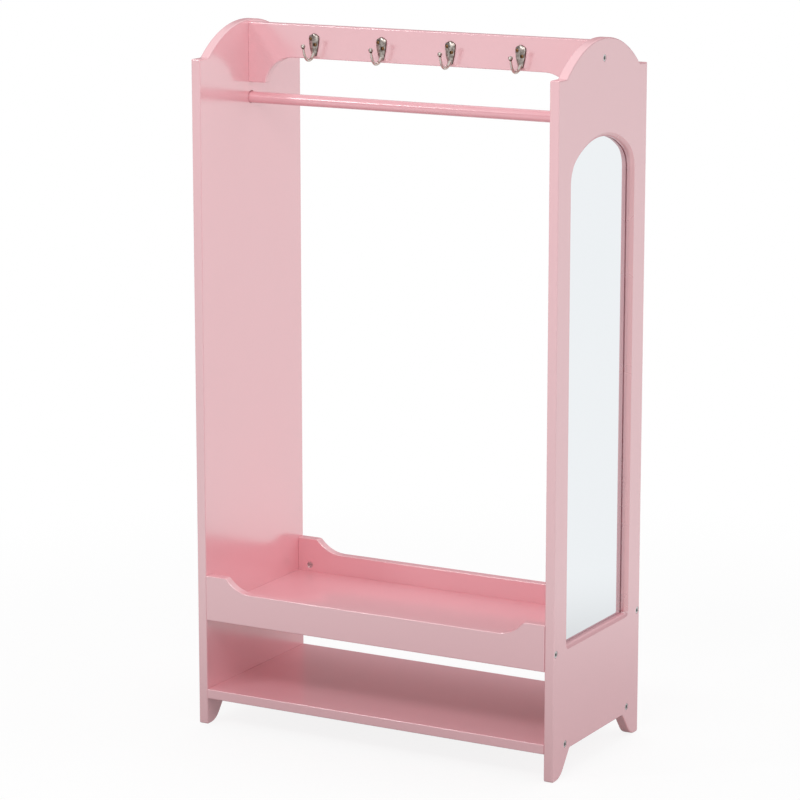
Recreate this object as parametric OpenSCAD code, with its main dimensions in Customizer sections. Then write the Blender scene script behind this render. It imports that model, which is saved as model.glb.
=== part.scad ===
// Children's dress-up unit: two arched side panels on cut-out feet carry a hook rail, a hanging
// rod, a scalloped toy tray and a shoe shelf, and a long arched mirror is let into one panel.
// The unit stands on z = 0 with its width along X, its front towards -Y and the mirror at +X.

/* [Overall] */
// Width over the outer faces of the two side panels
unit_w = 605; // [480:5:900]
// Depth of the side panels, front edge to back edge
unit_d = 290; // [235:5:420]
// Height of the side panels' square shoulders above the floor
shoulder_h = 1020; // [800:5:1300]
// Rise of the arched top above the shoulders
arch_rise = 48; // [38:1:60]
// Thickness of every painted board
board_t = 15; // [12.5:0.5:20]

/* [Side panels] */
// Flat shoulder left at each side of the arched top
shoulder_w = 25; // [18:1:34]
// Hollow radius where the arch meets the shoulder
shoulder_fillet_r = 8; // [3:1:9]
// Height of the panels' lower edge between the feet
foot_h = 39; // [30:1:50]
// Length of a foot's sole before it starts to curve up
foot_sole = 10; // [8:1:20]
// Radius of the curve between the sole and the sloped inner edge
foot_belly_r = 30; // [24:1:36]
// Slope of the foot's inner edge above the horizontal, in degrees
foot_slope = 52; // [45:1:62]
// Radius of the foot's outer lower corner
foot_toe_r = 3; // [1:0.5:5]
// Hollow radius at the top of the foot's inner edge
foot_fillet_r = 5; // [2:1:8]

/* [Mirror] */
// Width of the board left beside the mirror opening
mirror_stile = 45.5; // [38:0.5:55]
// Height of the opening's lower edge above the tray's floor
sill_above_floor = 14.5; // [12:0.5:60]
// Distance of the opening's crown below the hanging rod's axis
crown_below_rod = 24; // [23:0.5:60]
// Rise of the opening's arched head
mirror_arch_rise = 57.5; // [48:0.5:70]
// Radius of the arched head's two haunches
mirror_haunch_r = 39; // [32:0.5:44]
// Radius of the rounded edge worked round the opening's outer face
lip_r = 6; // [3:0.5:6.2]
// Thickness of the mirror glass
glass_t = 3; // [2:0.1:3.6]
// Overlap of the glass behind the opening's edge
glass_lap = 8; // [5:0.5:9]
// Thickness of the board that backs the glass
backing_t = 3; // [2:0.1:3.6]
// Play round the glass and the backing board in their rebate
rebate_play = 0.5; // [0.3:0.1:1]
// Length of a clip over the edge of the backing board
clip_over = 7; // [5:0.5:10]
// Length of a clip on the panel outside the rebate
clip_out = 9; // [8:0.5:12]
// Width of a clip
clip_w = 8; // [7:0.5:12]
// Thickness of a clip
clip_t = 1.2; // [0.8:0.1:2]

/* [Hook rail] */
// Height of the rail's plain middle stretch
rail_h = 50; // [44:1:70]
// Distance of the rail's top edge below the crown of the panels
rail_drop = 4; // [2:1:12]
// Extra depth of the brackets at the rail's two ends
bracket_drop = 40.5; // [30:0.5:48]
// Distance from a panel at which a bracket's curve meets the rail's lower edge
bracket_reach = 78; // [72:1:100]
// Radius of a bracket's hollow curve
bracket_r = 50; // [50:1:60]

/* [Hanging rod] */
// Diameter of the rod
rod_d = 17; // [14:0.1:22]
// Distance of the rod's axis below the shoulders
rod_below_shoulder = 70; // [62:1:90]
// Play all round the rod in its blind sockets
rod_play = 0.7; // [0.4:0.1:1]
// Gap left under the rod where it rests in its sockets
rod_seat_gap = 0.3; // [0.2:0.05:0.35]
// Depth of the blind sockets in the side panels
rod_socket_depth = 8; // [6:0.5:9.5]
// Play left at each end of the rod
rod_end_play = 0.5; // [0.3:0.1:1]

/* [Tray and shelf] */
// Height of the tray rails' lower edge above the floor
tray_z = 165; // [140:1:260]
// Height of the tray rails' plain middle stretch
tray_rail_h = 49; // [42:1:70]
// Rise of the ears at the rails' ends
ear_rise = 21; // [14:1:30]
// Flat length of each ear
ear_flat = 35; // [28:1:50]
// Radius of the hollow curve from an ear down to the rail's middle stretch
scallop_r = 55; // [40:1:70]
// Height of the tray floor's underside above the rails' lower edge
floor_lift = 2; // [0:0.5:6]
// Height of the shelf's underside above the panels' lower edge
shelf_lift = 2; // [0:0.5:8]

/* [Joint fittings] */
// Diameter of a connector bolt's shank
bolt_d = 6; // [5:0.1:7]
// Length of a connector bolt under its head
bolt_len = 35; // [35:1:42]
// Diameter of a connector bolt's head
bolt_head_d = 10; // [9:0.1:12]
// Height of a connector bolt's head
bolt_head_h = 6; // [4:0.5:6.5]
// Depth to which the bolt heads are sunk below the panels' outer faces
bolt_sink = 0.5; // [0:0.1:1]
// Diameter of a barrel nut
nut_d = 10; // [8.5:0.5:12]
// Length of a barrel nut
nut_len = 10; // [8:0.5:11]
// Distance from the end of a board to its barrel nut's axis
nut_inset = 21; // [19:1:26]
// Diameter of the wooden dowels
dowel_d = 8; // [5:0.5:9]
// Length of the wooden dowels
dowel_len = 30; // [24:1:36]
// Depth of the dowels in the face of a board
dowel_bite = 10; // [8:0.5:11]
// Play all round the dowels, nuts and heads in their holes
fit_play = 0.1; // [0.05:0.05:0.2]
// Distance of the shelf's bolts from its front and back edges
shelf_bolt_inset = 40; // [30:1:55]
// Height of the tray rails' bolts above their lower edge
tray_bolt_up = 27; // [24:1:32]

/* [Coat hooks] */
// Height of the hooks' centres below the rail's top edge
hook_below_top = 29; // [26:1:32]
// Height of a hook's plate
plate_h = 34; // [28:1:38]
// Width of a hook's plate
plate_w = 17; // [14.2:0.1:22]
// Thickness of the plate along its raised middle
plate_t = 4.6; // [4:0.1:6]
// Diameter of the prong
prong_d = 4.6; // [3.8:0.1:5.6]
// Radius of the prong's bend, to the middle of the metal
prong_bend_r = 13.5; // [11:0.5:16]
// Diameter of the ball at the prong's tip
ball_d = 7; // [6:0.1:9]
// Diameter of the hook screws
hook_screw_d = 3; // [2.5:0.1:3.5]

/* [Hidden] */
$fn = 96;

PINK = [0.93, 0.72, 0.76];
NICKEL = [0.62, 0.6, 0.57];
BRASS = [0.55, 0.38, 0.16];
STEEL = [0.55, 0.56, 0.58];
BEECH = [0.82, 0.68, 0.48];
SILVERED = [0.86, 0.9, 0.91];

// Overlap that lets a cut run clear of the face it opens
cut = 1;
// Largest turn between two points of an outline's arc, in degrees, for a radius under 10 and
// for a larger one, and the levels of points round the mirror opening's lip
small_arc_step = 15;
arc_step = 4;
lip_levels = 4;

// Main planes
inner_w = unit_w - 2 * board_t;
half_in = inner_w / 2;
half_d = unit_d / 2;
top_z = shoulder_h + arch_rise;

// Arched top of the side panels: half chord, radius and centre height
arch_half = half_d - shoulder_w;
arch_r = (arch_half * arch_half + arch_rise * arch_rise) / (2 * arch_rise);
arch_cz = top_z - arch_r;
// Centre of the small hollow on a shoulder, and the angle at which it meets the arch
blend_z = shoulder_h + shoulder_fillet_r;
blend_y = sqrt((arch_r + shoulder_fillet_r) ^ 2 - (blend_z - arch_cz) ^ 2);
blend_angle = atan2(blend_z - arch_cz, blend_y);

// Foot: upper end of the belly curve, measured from the foot's outer lower corner, the foot's
// width at the top, and the length that the hollow at the top takes off its two edges
belly_end = [foot_sole + foot_belly_r * sin(foot_slope), foot_belly_r * (1 - cos(foot_slope))];
foot_w = belly_end.x + (foot_h - belly_end.y) / tan(foot_slope);
fillet_len = foot_fillet_r * tan(foot_slope / 2);

// Rod
rod_z = shoulder_h - rod_below_shoulder;
socket_r = rod_d / 2 + rod_play;
socket_z = rod_z + rod_play - rod_seat_gap;
rod_len = inner_w + 2 * (rod_socket_depth - rod_end_play);
rod_chamfer = 1;

// Rail, tray and shelf heights
rail_top = top_z - rail_drop;
rail_low = rail_top - rail_h;
bracket_low = rail_low - bracket_drop;
hook_z = rail_top - hook_below_top;
bracket_angle = asin((bracket_r - bracket_drop) / bracket_r);
tray_rail_top = tray_z + tray_rail_h;
ear_top = tray_rail_top + ear_rise;
ear_angle = asin((scallop_r - ear_rise) / scallop_r);
ear_reach = ear_flat + scallop_r * cos(ear_angle);
floor_z = tray_z + floor_lift;
shelf_z = foot_h + shelf_lift;
board_mid = board_t / 2;
rail_mid_y = half_d - board_mid;

// Mirror opening: half width, lower edge, springing height, centres and radii of its head
open_half = half_d - mirror_stile;
open_low = floor_z + board_t + sill_above_floor;
open_top = rod_z - crown_below_rod;
spring_z = open_top - mirror_arch_rise;
haunch_y = open_half - mirror_haunch_r;
crown_r = (haunch_y * haunch_y + mirror_arch_rise * mirror_arch_rise
    - mirror_haunch_r * mirror_haunch_r) / (2 * (mirror_arch_rise - mirror_haunch_r));
crown_z = open_top - crown_r;
haunch_angle = atan2(spring_z - crown_z, haunch_y);
// Corner radius at the foot of the opening where the lip starts
lip_corner_r = 1.5;
// Growth from the opening to the rebate's edge
rebate_out = glass_lap + rebate_play;

// Connector bolts: counterbore, and reach past the panel's inner face
head_depth = bolt_head_h + bolt_sink;
bolt_reach = bolt_len - (board_t - head_depth);
bolt_hole_r = bolt_d / 2 + 0.5;
bolt_hole_end = bolt_reach + 2;
socket_af = 5;
socket_depth = 3;
thread_play = 0.05;
nut_slot = [1.2, 1.5];
// Upper dowel below the rail's top edge, lower dowel above its bracket's foot, and the tray
// rails' dowel above their bolt
top_dowel_edge = 9;
low_dowel_up = 25;
tray_dowel_step = 23;

// Bolt and dowel places, as [depth y, height z] on a panel's inner face
top_bolts = [[0, rail_low + rail_h / 2]];
tray_bolts = [for (s = [-1, 1]) [s * rail_mid_y, tray_z + tray_bolt_up]];
shelf_bolts_at = [for (s = [-1, 1]) [s * (half_d - shelf_bolt_inset), shelf_z + board_mid]];
top_dowels = [[0, rail_top - top_dowel_edge], [0, bracket_low + low_dowel_up]];
tray_dowels = [for (s = [-1, 1]) [s * rail_mid_y, tray_z + tray_bolt_up + tray_dowel_step]];
floor_dowels = [for (s = [-1, 1]) [s * unit_d / 5, floor_z + board_mid]];
shelf_dowels_at = [for (s = [-1, 1]) [s * unit_d / 6, shelf_z + board_mid]];
// Widths at which the tray's floor is pegged to its rails
floor_peg_x = [for (k = [-1.5, -0.5, 0.5, 1.5]) k * inner_w / 4];

// Clips that hold the backing board: screw, its place outside the rebate, and rows up a side
clip_screw_d = 3;
clip_screw_len = 10;
clip_head = [5.6, 1.6];
clip_screw_out = 4.5;
clip_rows = 4;
clip_row_in = 25;
clip_haunch_angle = 55;

// Coat hooks
hook_step = inner_w / 5;
hook_x = [for (k = [-1.5, -0.5, 0.5, 1.5]) k * hook_step];
hook_screw_len = 13;
hook_head = [5.2, 1.5];
// Screw places on the plate, right and up from its centre, and the seat's height off the rail
screw_at = [[-0.265 * plate_w, 0.265 * plate_h], [0.19 * plate_w, 0.015 * plate_h]];
screw_seat = 2.6;
plate_edge_t = 2;
prong_root = prong_d / 2 + 0.7;
prong_tip_d = prong_d - 0.6;
prong_lean = 16;
prong_up = 14;
prong_c = [prong_root + prong_bend_r, -plate_h / 2 + 9];

// ---- Helpers ----------------------------------------------------------------------------

// Points along an arc, both ends included, turning from angle a to angle b
function arc(c, r, a, b) =
    let (n = ceil(abs(b - a) / (r < 10 ? small_arc_step : arc_step)))
    [for (k = [0 : n]) c + r * [cos(a + (b - a) * k / n), sin(a + (b - a) * k / n)]];

// Closed outline from its right half, given from the bottom up or from the top down
function both_halves(right) = concat(right,
    [for (k = [len(right) - 1 : -1 : 0]) if (right[k].x > 0.001) [-right[k].x, right[k].y]]);

// Draws its children at the +X end and mirrored at the -X end
module both_ends() {
    children();
    mirror([1, 0, 0]) children();
}

// Turns an outline drawn as (depth, height) into a slab along X that starts at x = 0
module side_slab(thick) {
    rotate([90, 0, 90]) linear_extrude(thick) children();
}

// Turns an outline drawn as (width, height) into a slab whose front face is at y = front
module front_slab(front, thick) {
    translate([0, front + thick, 0]) rotate([90, 0, 0]) linear_extrude(thick) children();
}

// Cylinder along +X that starts at [x, y, z]
module x_cyl(x, at, r, len) {
    translate([x, at.x, at.y]) rotate([0, 90, 0]) cylinder(h = len, r = r);
}

// ---- Fittings ---------------------------------------------------------------------------

// Socket-head connector bolt at the +X end, pointing inwards, its head sunk in the panel
module connector_bolt(at) {
    head_x = unit_w / 2 - bolt_sink - bolt_head_h;
    difference() {
        union() {
            x_cyl(head_x, at, bolt_head_d / 2, bolt_head_h);
            x_cyl(head_x - bolt_len, at, bolt_d / 2, bolt_len + cut);
        }
        translate([head_x + bolt_head_h - socket_depth, at.x, at.y]) rotate([0, 90, 0])
            linear_extrude(socket_depth + cut) circle(d = socket_af / cos(30), $fn = 6);
    }
}

// Barrel nut at the +X end, its axis along Z before it is turned by turn, slot outwards
module barrel_nut(at, turn) {
    translate([half_in - nut_inset, at.x, at.y]) rotate([turn, 0, 0]) difference() {
        translate([0, 0, -nut_len / 2]) cylinder(h = nut_len, d = nut_d);
        rotate([0, 90, 0]) cylinder(h = nut_d + 2 * cut, r = bolt_d / 2 + thread_play, center = true);
        translate([-nut_d / 2 - cut, -nut_slot.x / 2, nut_len / 2 - nut_slot.y])
            cube([nut_d + 2 * cut, nut_slot.x, nut_slot.y + cut]);
    }
}

// Wooden dowel across the +X joint
module end_dowel(at) {
    x_cyl(half_in + dowel_bite - dowel_len, at, dowel_d / 2, dowel_len);
}

// Everything that is bored in a board's end for one bolt and its barrel nut
module end_bores(at, turn) {
    nut_hole = board_mid + nut_len / 2 + fit_play;
    x_cyl(half_in - bolt_hole_end, at, bolt_hole_r, bolt_hole_end + cut);
    translate([half_in - nut_inset, at.x, at.y]) rotate([turn, 0, 0])
        translate([0, 0, board_mid - nut_hole]) cylinder(h = nut_hole + cut, r = nut_d / 2 + fit_play);
}

// Blind hole for a dowel in a board's end
module end_dowel_bore(at) {
    deep = dowel_len - dowel_bite + fit_play;
    x_cyl(half_in - deep, at, dowel_d / 2 + fit_play, deep + cut);
}

// ---- Side panels ------------------------------------------------------------------------

// Outline of a side panel: feet, straight edges, shoulders and arched top
panel_pts = both_halves(concat(
    arc([half_d - foot_w - fillet_len, foot_h - foot_fillet_r], foot_fillet_r, 90, 90 - foot_slope),
    arc([half_d - foot_sole, foot_belly_r], foot_belly_r, 270 - foot_slope, 270),
    arc([half_d - foot_toe_r, foot_toe_r], foot_toe_r, 270, 360),
    [[half_d, shoulder_h]],
    arc([blend_y, blend_z], shoulder_fillet_r, 270, 180 + blend_angle),
    arc([0, arch_cz], arch_r, blend_angle, 90)
));

// Mirror opening grown outwards by grow, with its lower corners rounded to corner_r: straight
// sides under a three-centred arch
function opening_pts(grow, corner_r = 0) = both_halves(concat(
    corner_r > 0
        ? arc([open_half + grow - corner_r, open_low - grow + corner_r], corner_r, 270, 360)
        : [[open_half + grow, open_low - grow]],
    arc([haunch_y, spring_z], mirror_haunch_r + grow, 0, haunch_angle),
    arc([0, crown_z], crown_r + grow, haunch_angle, 90)
));

// The bores that both panels have, drawn for the +X panel
module panel_bores() {
    for (at = concat(top_bolts, tray_bolts, shelf_bolts_at)) {
        x_cyl(half_in - cut, at, bolt_hole_r, board_t + 2 * cut);
        x_cyl(unit_w / 2 - head_depth, at, bolt_head_d / 2 + 2 * fit_play, head_depth + cut);
    }
    for (at = concat(top_dowels, tray_dowels, floor_dowels, shelf_dowels_at))
        x_cyl(half_in - cut, at, dowel_d / 2 + fit_play, dowel_bite + fit_play + cut);
    x_cyl(half_in - cut, [0, socket_z], socket_r, rod_socket_depth + cut);
}

// One ring of points round the lip, level up (0 to lip_levels) its quarter circle
function lip_ring(level) =
    let (a = 90 * level / lip_levels, grow = lip_r * (1 - cos(a)))
    [for (p = opening_pts(grow, grow + lip_corner_r)) [p.x, p.y, board_t - lip_r * (1 - sin(a))]];

// What the rounded lip takes off the edge of the opening, in the slab's own axes
module lip_cut() {
    rings = concat([for (level = [0 : lip_levels]) lip_ring(level)],
        [[for (p = lip_ring(lip_levels)) p + [0, 0, cut]]]);
    n = len(rings[0]);
    last = n * (len(rings) - 1);
    polyhedron(points = [for (ring = rings) each ring], faces = concat(
        [[for (k = [0 : n - 1]) k], [for (k = [n - 1 : -1 : 0]) last + k]],
        [for (low = [0 : n : last - n]) for (k = [0 : n - 1]) let (m = (k + 1) % n)
            [low + k, low + n + k, low + n + m, low + m]]
    ));
}

// Draws its children at each clip: y runs out from the rebate's edge along the panel's inner
// face, and x runs into the panel
module at_clips() {
    for (s = [0, 1]) mirror([0, s, 0]) {
        for (k = [0 : clip_rows - 1])
            translate([half_in, open_half + rebate_out, open_low + clip_row_in
                + k * (spring_z - open_low - 2 * clip_row_in) / (clip_rows - 1)]) children();
        translate([half_in, haunch_y, spring_z]) rotate([clip_haunch_angle, 0, 0])
            translate([0, mirror_haunch_r + rebate_out, 0]) children();
    }
}

module left_side_panel() {
    color(PINK) mirror([1, 0, 0]) difference() {
        translate([half_in, 0, 0]) side_slab(board_t) polygon(panel_pts);
        panel_bores();
    }
}

module right_side_panel() {
    color(PINK) difference() {
        translate([half_in, 0, 0]) difference() {
            side_slab(board_t) polygon(panel_pts);
            translate([-cut, 0, 0]) side_slab(board_t + 2 * cut) polygon(opening_pts(0));
            translate([-cut, 0, 0]) side_slab(backing_t + glass_t + cut)
                polygon(opening_pts(rebate_out));
            rotate([90, 0, 90]) lip_cut();
        }
        panel_bores();
        at_clips() x_cyl(-cut, [clip_screw_out, 0], clip_screw_d / 2 + fit_play,
            clip_screw_len - clip_t + fit_play + cut);
    }
}

// ---- Mirror -----------------------------------------------------------------------------

module mirror_glass() {
    color(SILVERED) translate([half_in + backing_t, 0, 0]) side_slab(glass_t)
        polygon(opening_pts(glass_lap));
}

module mirror_backing() {
    color(PINK) translate([half_in, 0, 0]) side_slab(backing_t) polygon(opening_pts(glass_lap));
}

module mirror_clips() {
    color(STEEL) at_clips() difference() {
        translate([-clip_t, -clip_over, -clip_w / 2]) cube([clip_t, clip_over + clip_out, clip_w]);
        x_cyl(-clip_t - cut, [clip_screw_out, 0], clip_screw_d / 2 + fit_play, clip_t + 2 * cut);
    }
}

module mirror_clip_screws() {
    color(STEEL) at_clips() {
        x_cyl(-clip_t - clip_head.y, [clip_screw_out, 0], clip_head.x / 2, clip_head.y);
        x_cyl(-clip_t - cut, [clip_screw_out, 0], clip_screw_d / 2, clip_screw_len + cut);
    }
}

// ---- Hook rail and rod ------------------------------------------------------------------

// Rail outline: a plain band with a bracket under each end, hollowed by an arc
top_rail_pts = both_halves(concat(
    arc([half_in - bracket_reach, rail_low - bracket_r], bracket_r, 90, bracket_angle),
    [[half_in, bracket_low], [half_in, rail_top]]
));

module top_rail() {
    color(PINK) difference() {
        front_slab(-board_mid, board_t) polygon(top_rail_pts);
        both_ends() {
            for (at = top_bolts) end_bores(at, -90);
            for (at = top_dowels) end_dowel_bore(at);
        }
        for (x = hook_x) for (p = screw_at) translate([x + p.x, -board_mid - cut, hook_z + p.y])
            rotate([-90, 0, 0]) cylinder(h = hook_screw_len - screw_seat + fit_play + cut,
                r = hook_screw_d / 2 + fit_play);
    }
}

module hanging_rod() {
    color(PINK) translate([-rod_len / 2, 0, rod_z]) rotate([0, 90, 0]) {
        cylinder(h = rod_chamfer, r1 = rod_d / 2 - rod_chamfer, r2 = rod_d / 2);
        translate([0, 0, rod_chamfer]) cylinder(h = rod_len - 2 * rod_chamfer, r = rod_d / 2);
        translate([0, 0, rod_len - rod_chamfer])
            cylinder(h = rod_chamfer, r1 = rod_d / 2, r2 = rod_d / 2 - rod_chamfer);
    }
}

// ---- Tray and shelf ---------------------------------------------------------------------

// Tray rail outline: a plain band with an ear at each end, hollowed by an arc
tray_rail_pts = both_halves(concat(
    [[half_in, tray_z], [half_in, ear_top], [half_in - ear_flat, ear_top]],
    arc([half_in - ear_reach, tray_rail_top + scallop_r], scallop_r, -ear_angle, -90)
));

// Tray rail at the back, its bores opening towards the tray
module tray_rail() {
    difference() {
        front_slab(half_d - board_t, board_t) polygon(tray_rail_pts);
        both_ends() {
            end_bores(tray_bolts[1], 90);
            end_dowel_bore(tray_dowels[1]);
        }
        for (x = floor_peg_x) translate([x, half_d - board_t - cut, floor_z + board_mid])
            rotate([-90, 0, 0]) cylinder(h = dowel_bite + fit_play + cut, r = dowel_d / 2 + fit_play);
    }
}

module tray_back_rail() {
    color(PINK) tray_rail();
}

module tray_front_rail() {
    color(PINK) mirror([0, 1, 0]) tray_rail();
}

module tray_floor() {
    deep = dowel_len - dowel_bite + fit_play;
    color(PINK) difference() {
        translate([-half_in, -half_d + board_t, floor_z])
            cube([inner_w, unit_d - 2 * board_t, board_t]);
        for (s = [0, 1]) mirror([0, s, 0]) for (x = floor_peg_x)
            translate([x, half_d - board_t - deep, floor_z + board_mid]) rotate([-90, 0, 0])
                cylinder(h = deep + cut, r = dowel_d / 2 + fit_play);
        both_ends() for (at = floor_dowels) end_dowel_bore(at);
    }
}

module bottom_shelf() {
    color(PINK) difference() {
        translate([-half_in, -half_d, shelf_z]) cube([inner_w, unit_d, board_t]);
        both_ends() {
            for (at = shelf_bolts_at) end_bores(at, 180);
            for (at = shelf_dowels_at) end_dowel_bore(at);
        }
    }
}

// ---- Bolts, barrel nuts and dowels ------------------------------------------------------

module top_rail_bolts() {
    color(STEEL) both_ends() for (at = top_bolts) connector_bolt(at);
}

module tray_rail_bolts() {
    color(STEEL) both_ends() for (at = tray_bolts) connector_bolt(at);
}

module shelf_bolts() {
    color(STEEL) both_ends() for (at = shelf_bolts_at) connector_bolt(at);
}

module top_rail_barrel_nuts() {
    color(STEEL) both_ends() for (at = top_bolts) barrel_nut(at, -90);
}

module tray_rail_barrel_nuts() {
    color(STEEL) both_ends() for (at = tray_bolts) barrel_nut(at, at.x > 0 ? 90 : -90);
}

module shelf_barrel_nuts() {
    color(STEEL) both_ends() for (at = shelf_bolts_at) barrel_nut(at, 180);
}

module top_rail_dowels() {
    color(BEECH) both_ends() for (at = top_dowels) end_dowel(at);
}

module tray_rail_dowels() {
    color(BEECH) both_ends() for (at = tray_dowels) end_dowel(at);
}

module tray_floor_end_dowels() {
    color(BEECH) both_ends() for (at = floor_dowels) end_dowel(at);
}

module shelf_dowels() {
    color(BEECH) both_ends() for (at = shelf_dowels_at) end_dowel(at);
}

// Dowels between the tray's floor and its two rails
module tray_floor_dowels() {
    color(BEECH) for (s = [0, 1]) mirror([0, s, 0]) for (x = floor_peg_x)
        translate([x, half_d - board_t + dowel_bite - dowel_len, floor_z + board_mid])
            rotate([-90, 0, 0]) cylinder(h = dowel_len, d = dowel_d);
}

// ---- Coat hooks -------------------------------------------------------------------------

// Shield outline of a plate, centred on the origin, narrowing to the prong's root
module shield_2d() {
    w = plate_w / 2;
    h = plate_h / 2;
    right = [[0.53 * w, 0.86 * h], [0.96 * w, 0.59 * h], [w, 0.3 * h], [0.85 * w, -0.24 * h],
        [0.52 * w, -0.88 * h], [0.4 * w, -h]];
    left = [for (k = [len(right) - 1 : -1 : 0]) [-right[k].x, right[k].y]];
    polygon(concat([[0, h]], right, left));
}

// One coat hook, drawn with the rail's face as z = 0 and up as y
module coat_hook() {
    w = plate_w / 2;
    difference() {
        union() {
            intersection() {
                linear_extrude(plate_t) shield_2d();
                translate([0, plate_h, 0]) rotate([90, 0, 0]) linear_extrude(2 * plate_h)
                    polygon([[-w, -cut], [w, -cut], [w, plate_edge_t], [w / 3, plate_t],
                        [-w / 3, plate_t], [-w, plate_edge_t]]);
            }
            prong();
        }
        for (p = screw_at) translate([p.x, p.y, 0]) {
            translate([0, 0, -cut]) cylinder(h = plate_t + 2 * cut, r = hook_screw_d / 2 + fit_play);
            translate([0, 0, screw_seat]) cylinder(h = plate_t, r = hook_head.x / 2 + fit_play);
        }
    }
}

// Prong: down from the plate, round under it and up to a ball, in the hook's middle plane
module prong() {
    // About the bend's centre, turned so that x points away from the rail and y up
    translate([0, prong_c.y, prong_c.x]) rotate([0, -90, 0]) {
        rotate([0, 0, 180]) rotate_extrude(angle = 180 - prong_lean)
            translate([prong_bend_r, 0]) circle(d = prong_d);
        rotate([0, 0, -prong_lean]) translate([prong_bend_r, 0, 0]) {
            translate([0, -cut, 0]) rotate([-90, 0, 0])
                cylinder(h = prong_up + cut, d1 = prong_d + 0.2, d2 = prong_tip_d);
            translate([0, prong_up, 0]) sphere(d = ball_d);
        }
    }
}

module placed_hook(k) {
    color(NICKEL) translate([hook_x[k], -board_mid, hook_z]) rotate([90, 0, 0]) coat_hook();
}

module hook_1() {
    placed_hook(0);
}

module hook_2() {
    placed_hook(1);
}

module hook_3() {
    placed_hook(2);
}

module hook_4() {
    placed_hook(3);
}

// Two domed brass screws a hook, through the plate into the rail
module hook_screws() {
    color(BRASS) for (x = hook_x) for (p = screw_at)
        translate([x + p.x, -board_mid - screw_seat, hook_z + p.y]) {
            rotate([90, 0, 0]) cylinder(h = hook_head.y, d = hook_head.x);
            translate([0, -cut / 2, 0]) rotate([-90, 0, 0])
                cylinder(h = hook_screw_len + cut / 2, d = hook_screw_d);
        }
}

// ---- Nodes ------------------------------------------------------------------------------

left_side_panel();
right_side_panel();
top_rail();
hanging_rod();
tray_front_rail();
tray_back_rail();
tray_floor();
bottom_shelf();
mirror_glass();
mirror_backing();
mirror_clips();
mirror_clip_screws();
hook_1();
hook_2();
hook_3();
hook_4();
hook_screws();
top_rail_bolts();
tray_rail_bolts();
shelf_bolts();
top_rail_barrel_nuts();
tray_rail_barrel_nuts();
shelf_barrel_nuts();
top_rail_dowels();
tray_rail_dowels();
tray_floor_dowels();
tray_floor_end_dowels();
shelf_dowels();
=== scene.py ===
# %% [markdown]
# # A child's dress-up unit in painted board
# The real unit is seven painted boards: two tall side panels with arched tops and cut-out feet,
# and between them a hook rail, a toy tray of three boards and a shoe shelf. A round rod hangs
# under the hook rail, and a long arched mirror is let into the right panel.
#
# The frame gives every board its exact place. So each piece below is drawn at that place, and
# what is new is its surface: softened edges, a routed lip, cast hooks, screws and the paint.

import math

import bmesh
import bpy
import numpy as np
from mathutils import Matrix, Vector
from mathutils.geometry import delaunay_2d_cdt


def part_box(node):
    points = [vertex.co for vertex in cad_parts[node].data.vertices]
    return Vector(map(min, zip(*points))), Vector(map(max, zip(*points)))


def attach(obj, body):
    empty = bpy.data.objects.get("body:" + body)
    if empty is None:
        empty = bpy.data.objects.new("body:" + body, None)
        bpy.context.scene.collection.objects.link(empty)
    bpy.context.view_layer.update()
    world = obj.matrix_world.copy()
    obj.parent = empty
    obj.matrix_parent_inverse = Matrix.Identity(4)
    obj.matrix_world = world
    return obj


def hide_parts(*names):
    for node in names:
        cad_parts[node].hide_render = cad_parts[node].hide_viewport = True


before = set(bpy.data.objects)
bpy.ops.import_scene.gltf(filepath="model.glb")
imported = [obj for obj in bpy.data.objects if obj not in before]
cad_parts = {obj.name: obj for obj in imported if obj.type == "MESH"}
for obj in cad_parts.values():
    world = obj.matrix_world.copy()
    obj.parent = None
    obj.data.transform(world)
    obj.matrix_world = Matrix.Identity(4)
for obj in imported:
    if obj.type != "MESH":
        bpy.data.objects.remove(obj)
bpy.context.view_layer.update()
scene = bpy.context.scene
MM = 0.001

panel_low, panel_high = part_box("right_side_panel")
HALF_D, TOP_Z = panel_high.y, panel_high.z
HALF_IN, HALF_W = panel_low.x, panel_high.x
BOARD = HALF_W - HALF_IN
print(f"unit {2 * HALF_W:.3f} wide, {2 * HALF_D:.3f} deep, {TOP_Z:.3f} high, boards {BOARD:.3f}")

# %% [markdown]
# ## Outlines
# A board is an outline with a thickness. On the real boards a template and a router give
# straight runs joined by arcs, so an outline here is the same: a list of arcs, with straight
# runs left between them. Drawing it freehand as a spline would be quicker to nudge, but arcs
# keep the true radii, and both halves of a symmetrical board come from one of them.


# %% Arcs, rounded corners and mirrored outlines
def arc(centre, radius, start, stop, pieces):
    """Points on a circle: centre + radius (cos a, sin a), with a from start to stop in degrees."""
    a = np.radians(np.linspace(start, stop, pieces + 1))
    return np.column_stack([centre[0] + radius * np.cos(a), centre[1] + radius * np.sin(a)])


def circle(centre, radius, points=32):
    """A closed ring of points, the last one short of the first."""
    return arc(centre, radius, 0, 360, points)[:-1]


def rounded(before, corner, after, radius, pieces=6):
    """A corner rounded off: with t the half angle between its two sides, the arc touches each
    side radius / tan t from the corner, and its centre is radius / sin t along the bisector."""
    corner = np.array(corner)
    sides = [np.array(p) - corner for p in (before, after)]
    sides = [s / np.linalg.norm(s) for s in sides]
    t = math.acos(np.clip(sides[0] @ sides[1], -1, 1)) / 2
    bisector = (sides[0] + sides[1]) / np.linalg.norm(sides[0] + sides[1])
    centre = corner + bisector * radius / math.sin(t)
    spokes = [corner + s * radius / math.tan(t) - centre for s in sides]
    turn = math.pi - 2 * t
    k = np.linspace(0, 1, pieces + 1)[:, None]
    swept = (np.sin((1 - k) * turn) * spokes[0] + np.sin(k * turn) * spokes[1]) / math.sin(turn)
    return centre + swept


def both_halves(right):
    """A closed loop from its right half: the left is the same points at minus the first axis."""
    right = np.vstack(right)
    left = right[::-1] * (-1, 1)
    off_axis = np.abs(left[:, 0]) > 1e-6
    return np.vstack([right, left[off_axis]])


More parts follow.
